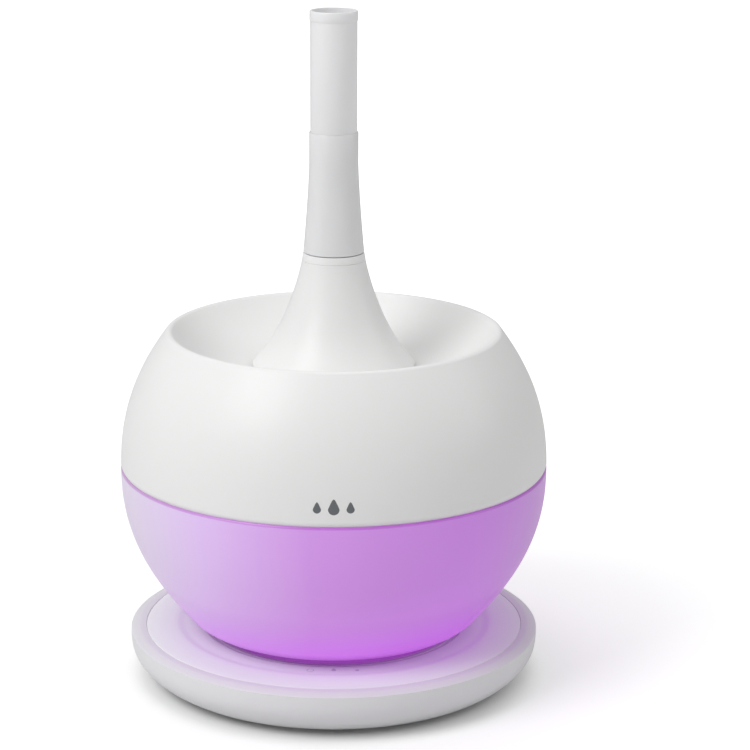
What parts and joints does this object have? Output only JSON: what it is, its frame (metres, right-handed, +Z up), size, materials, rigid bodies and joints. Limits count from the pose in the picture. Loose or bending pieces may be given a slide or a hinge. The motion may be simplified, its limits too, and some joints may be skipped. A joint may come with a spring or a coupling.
{
  "type": "cool mist humidifier",
  "caption": "Round tabletop cool mist humidifier: lit translucent water tank on a saucer base, dished pour-in cover, flared nozzle and telescoping mist tube.",
  "frame": {"origin": "centre of the base's footprint on the surface it stands on", "axes": "+Z up along the mist tube, -Y to the front where the touch keys are, +X to the right seen from the front"},
  "size_m": [0.3, 0.3, 0.4732],
  "materials": {
    "white_gloss": "polished white ABS",
    "white_satin": "satin white ABS",
    "tank_translucent": "translucent polycarbonate, lit violet from below",
    "tube_translucent": "frosted translucent polypropylene",
    "lens_diffuser": "milky diffuser",
    "silicone_grey": "soft silicone",
    "rubber_grey": "matte rubber",
    "circuit_board": "solder mask",
    "led_emitter": "lit lamp package",
    "component_black": "moulded",
    "gold_contact": "plated",
    "steel": "satin",
    "wire_insulation": "extruded insulation",
    "piezo_ceramic": "nickel plated rim, fired ceramic"
  },
  "bodies": {
    "base": {"base_lower_shell": "white_gloss", "base_upper_plate": "white_gloss", "seat_ring": "silicone_grey", "light_lens": "lens_diffuser", "light_reflector": "white_satin", "led_board": "circuit_board", "leds": "led_emitter", "power_board": "circuit_board", "power_components": "component_black", "buzzer": "component_black", "touch_board": "circuit_board", "touch_pads": "gold_contact", "dc_jack": "component_black", "dc_jack_pin": "steel", "atomizer_socket": "component_black", "internal_wiring": "wire_insulation", "rubber_feet": "rubber_grey", "case_screws": "steel", "board_screws": "steel"},
    "tank": {"water_tank": "tank_translucent"},
    "cover": {"top_cover": "white_gloss"},
    "nozzle": {"nozzle_cone": "white_gloss", "lower_tube": "tube_translucent", "tube_seal": "silicone_grey"},
    "extension": {"extension_tube": "tube_translucent"},
    "atomizer": {"float_hull": "white_satin", "float_deck": "white_satin", "deck_seal": "silicone_grey", "driver_board": "circuit_board", "driver_components": "component_black", "piezo_disc": "piezo_ceramic", "piezo_gasket": "silicone_grey", "piezo_retainer": "steel", "piezo_screws": "steel", "level_probes": "steel", "mist_chimney": "white_satin", "fan_housing": "white_satin", "fan_cap": "white_satin", "fan_motor": "steel", "fan_screws": "steel", "float_screws": "steel", "cable_gland": "component_black"},
    "fan": {"fan_shaft": "steel", "fan_impeller": "component_black"}
  },
  "joints": [
    {"name": "tank_lift", "type": "slide", "parent": "base", "child": "tank", "axis": [0, 0, 1], "range_m": [0, 0.06]},
    {"name": "cover_lift", "type": "slide", "parent": "tank", "child": "cover", "axis": [0, 0, 1], "range_m": [0, 0.15]},
    {"name": "nozzle_lift", "type": "slide", "parent": "cover", "child": "nozzle", "axis": [0, 0, 1], "range_m": [0, 0.1]},
    {"name": "tube_telescope", "type": "slide", "parent": "nozzle", "child": "extension", "axis": [0, 0, 1], "range_m": [-0.0755, 0]},
    {"name": "float_rise", "type": "slide", "parent": "tank", "child": "atomizer", "axis": [0, 0, 1], "range_m": [0, 0.06]},
    {"name": "fan_spin", "type": "hinge", "parent": "atomizer", "child": "fan", "pos_m": [0.0555, 0, 0.09], "axis": [0, 0, 1], "continuous": true}
  ]
}
